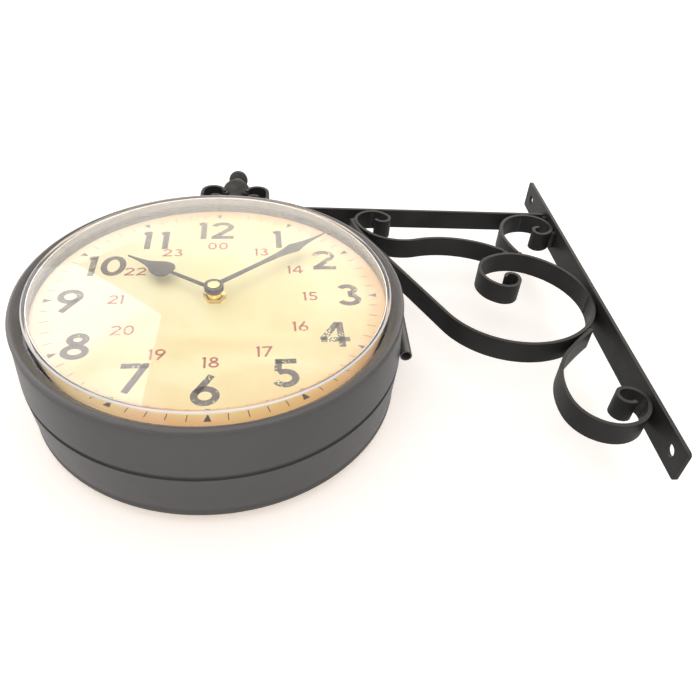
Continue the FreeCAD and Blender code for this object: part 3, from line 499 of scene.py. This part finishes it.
# Each figure is a height of 1 and these widths, drawn with strokes whose half width is HALF.
FIGURE_WIDTH = {"0": 0.70, "1": 0.24, "2": 0.70, "3": 0.68, "4": 0.78,
                "5": 0.66, "6": 0.68, "7": 0.68, "8": 0.68, "9": 0.68}
FIGURES = {
    "0": [bow(0.35, 0.5, 0.35, 0.5, 0, 360)],
    "1": [line((0.15, 0.0), (0.15, 1.0)), line((0.15, 0.93), (0.0, 0.86))],
    "2": [np.vstack((bow(0.35, 0.70, 0.35, 0.30, 168, -32), (0.10, HALF))), line((0.02, HALF), (0.70, HALF))],
    "3": [bow(0.32, 0.745, 0.29, 0.255, 158, -90), bow(0.33, 0.285, 0.34, 0.285, 90, -158)],
    "4": [line((0.56, 0.0), (0.56, 1.0)), line((0.50, 0.97), (0.06, 0.30)), line((0.02, 0.29), (0.78, 0.29))],
    "5": [line((0.12, 1 - HALF), (0.62, 1 - HALF)), line((0.19, 1.0), (0.15, 0.56)),
          bow(0.32, 0.32, 0.34, 0.32, 128, -150)],
    "6": [bow(0.34, 0.32, 0.34, 0.32, 0, 360), line((0.47, 1.0), (0.12, 0.42))],
    "7": [line((0.0, 1 - HALF), (0.66, 1 - HALF)), line((0.58, 0.93), (0.19, 0.0))],
    "8": [bow(0.34, 0.745, 0.28, 0.255, 0, 360), bow(0.34, 0.285, 0.34, 0.285, 0, 360)],
    "9": [bow(0.34, 0.68, 0.34, 0.32, 0, 360), line((0.21, 0.0), (0.56, 0.58))],
}


def ribbon(middle, half):
    """A flat strip along a line: each corner is the line's point moved left or right by half a width along
    the mean of the normals of its two runs."""
    run = np.diff(middle, axis=0)
    run /= np.linalg.norm(run, axis=1)[:, None]
    normal = np.column_stack((-run[:, 1], run[:, 0]))
    mean = np.vstack((normal[:1], (normal[:-1] + normal[1:]) / 2, normal[-1:]))
    if np.allclose(middle[0], middle[-1]):
        mean[0] = mean[-1] = (normal[0] + normal[-1]) / 2
    corners = np.vstack((middle + mean * half, middle - mean * half))
    left = np.arange(len(middle) - 1)
    other = left + len(middle)
    return corners, np.column_stack((other, other + 1, left + 1, left))


def figures_at(text, middle, height, half, gap):
    """The strips of a number centred on a point of the dial. The half stroke and the gap between two figures
    are in heights of a figure."""
    pen = -(sum(FIGURE_WIDTH[figure] for figure in text) + gap * (len(text) - 1)) / 2
    strips = []
    for figure in text:
        for stroke in FIGURES[figure]:
            corners, faces = ribbon(stroke, half)
            strips.append(((corners + (pen, -0.5)) * height + middle, faces))
        pen += FIGURE_WIDTH[figure] + gap
    return strips


def polar(radius, degrees):
    """The point of the dial at a radius and an angle clockwise from twelve: radius times the sine of the
    angle to the right, and times its cosine up."""
    return np.array((math.sin(math.radians(degrees)), math.cos(math.radians(degrees)))) * radius


def on_dial(name, strips, face, material):
    """Places flat strips on a dial: turned with the dial, moved to the drum's middle, and on the back dial
    mirrored across, since that one is read from the other side."""
    corners = np.vstack([strip for strip, rows in strips]) / 1000
    firsts = np.cumsum([0] + [len(strip) for strip, rows in strips[:-1]])
    faces = [row for (strip, rows), first in zip(strips, firsts) for row in (rows + first).tolist()]
    a = math.radians(DIAL_TURN[face])
    across = corners[:, 0] * math.cos(a) + corners[:, 1] * math.sin(a)
    tall = corners[:, 1] * math.cos(a) - corners[:, 0] * math.sin(a)
    hand = 1 if face == "front" else -1
    depth = np.full(len(corners), -hand * (DIAL_FACE + INK))
    placed = np.column_stack((DRUM[0] + hand * across, depth, DRUM[1] + tall))
    piece = new_piece(name, placed, faces, material)
    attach(piece, "drum")


grey_ink = worn_ink("numeral_ink", (0.055, 0.036, 0.028), 0.345)
red_ink = worn_ink("hour_ring_ink", (0.42, 0.055, 0.025), 0.40)
track_ink = worn_ink("track_ink", (0.07, 0.055, 0.045), 0.42)
for face in ("front", "back"):
    numerals = []
    for hour, (out, degrees) in enumerate(NUMERAL_PLACES, start=1):
        gap = ELEVEN_GAP if hour == 11 else NUMERAL_GAP
        numerals += figures_at(str(hour), polar(out, degrees), NUMERAL_HEIGHT, HALF, gap)
    on_dial("numerals_" + face, numerals, face, grey_ink)
    ring = []
    for hour in range(13, 25):
        middle = polar(HOUR_RING_RADIUS, hour * 30)
        ring += figures_at("%02d" % (hour % 24), middle, HOUR_RING_HEIGHT, HOUR_RING_STROKE, NUMERAL_GAP)
    on_dial("hour_ring_" + face, ring, face, red_ink)
    track = []
    for minute in range(60):
        out = polar(1.0, minute * 6)
        sideways = np.array((out[1], -out[0])) * TRIANGLE_HALF
        base = out * TRACK_OUTER
        if minute % 5:
            track.append(ribbon(np.array((out * TRACK_INNER, base)), MARK_HALF))
        else:
            triangle = np.array((out * TRIANGLE_TIP, base - sideways, base + sideways))
            track.append((triangle, np.array([(0, 2, 1)])))
    on_dial("minute_track_" + face, track, face, track_ink)


# ---- Lenses: clear cups moulded in acrylic, each with a flat face, a rounded edge and a skirt that runs down
# to a flange held under the lip of the case. The outlines are (distance from the axis, depth).
LENS_RADIUS = 0.0902
LENS_FACE = 0.0324
LENS_EDGE = 0.001
LENS_INSIDE = 0.0309
SKIRT_INSIDE = 0.0882
FLANGE_OUTLINE = ((SKIRT_INSIDE, 0.0231), (0.094, 0.0231), (0.094, 0.0246), (0.0905, 0.0246))
# The share and the white of the painted highlight along the lens's front edge.
EDGE_HIGHLIGHT_SHARE = 0.75
EDGE_HIGHLIGHT_WHITE = (0.95, 0.93, 0.92, 1)

acrylic, tree, surface, output = new_material("clear_acrylic")
fill(tree, surface, {
    "Base Color": (1, 1, 1, 1),
    "Transmission Weight": 1.0,
    "IOR": 1.49,
    "Roughness": spread(tree, noise(tree, 30.0), high=0.03),
})

# Painted highlight: the rounded front edge is mixed with a white diffuse, which stands for the bright line of
# light that it catches.
centred, reach = from_drum_axis(tree)
near_rim = spread(tree, reach, start=LENS_RADIUS - 0.0011, stop=LENS_RADIUS - 0.0007)
depth = reckon(tree, "ABSOLUTE", add(tree, "SeparateXYZ", {0: centred}).outputs["Y"])
near_face = spread(tree, depth, start=LENS_FACE - 0.0010, stop=LENS_FACE - 0.0006, high=EDGE_HIGHLIGHT_SHARE)
edge_highlight = reckon(tree, "MULTIPLY", near_rim, near_face)
highlight_white = add(tree, "BsdfDiffuse", {"Color": EDGE_HIGHLIGHT_WHITE})
edged = add(tree, "MixShader", {0: edge_highlight, 1: surface.outputs[0], 2: highlight_white.outputs[0]})

# Light for the dial, and for its shadows, goes straight through.
rays = add(tree, "LightPath").outputs
let_by = reckon(tree, "MAXIMUM", rays["Is Shadow Ray"], rays["Is Diffuse Ray"])
nothing = add(tree, "BsdfTransparent").outputs[0]
through = add(tree, "MixShader", {0: let_by, 1: edged.outputs[0], 2: nothing})
fill(tree, output, {"Surface": through.outputs[0]})

for face, hand in (("front", -1), ("back", 1)):
    cup = np.vstack((
        (0.0, LENS_INSIDE),
        (SKIRT_INSIDE - LENS_EDGE, LENS_INSIDE),
        arc_points((SKIRT_INSIDE - LENS_EDGE, LENS_INSIDE - LENS_EDGE), LENS_EDGE, 90, 0, 7),
        FLANGE_OUTLINE,
        arc_points((LENS_RADIUS - LENS_EDGE, LENS_FACE - LENS_EDGE), LENS_EDGE, 0, 90, 9),
        (0.0, LENS_FACE),
    )) * (1, hand)
    lens = turned_piece("lens_cup_" + face, cup, 180, (DRUM[0], 0, DRUM[1]), "y", acrylic, "drum")
    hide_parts("lens_" + face)
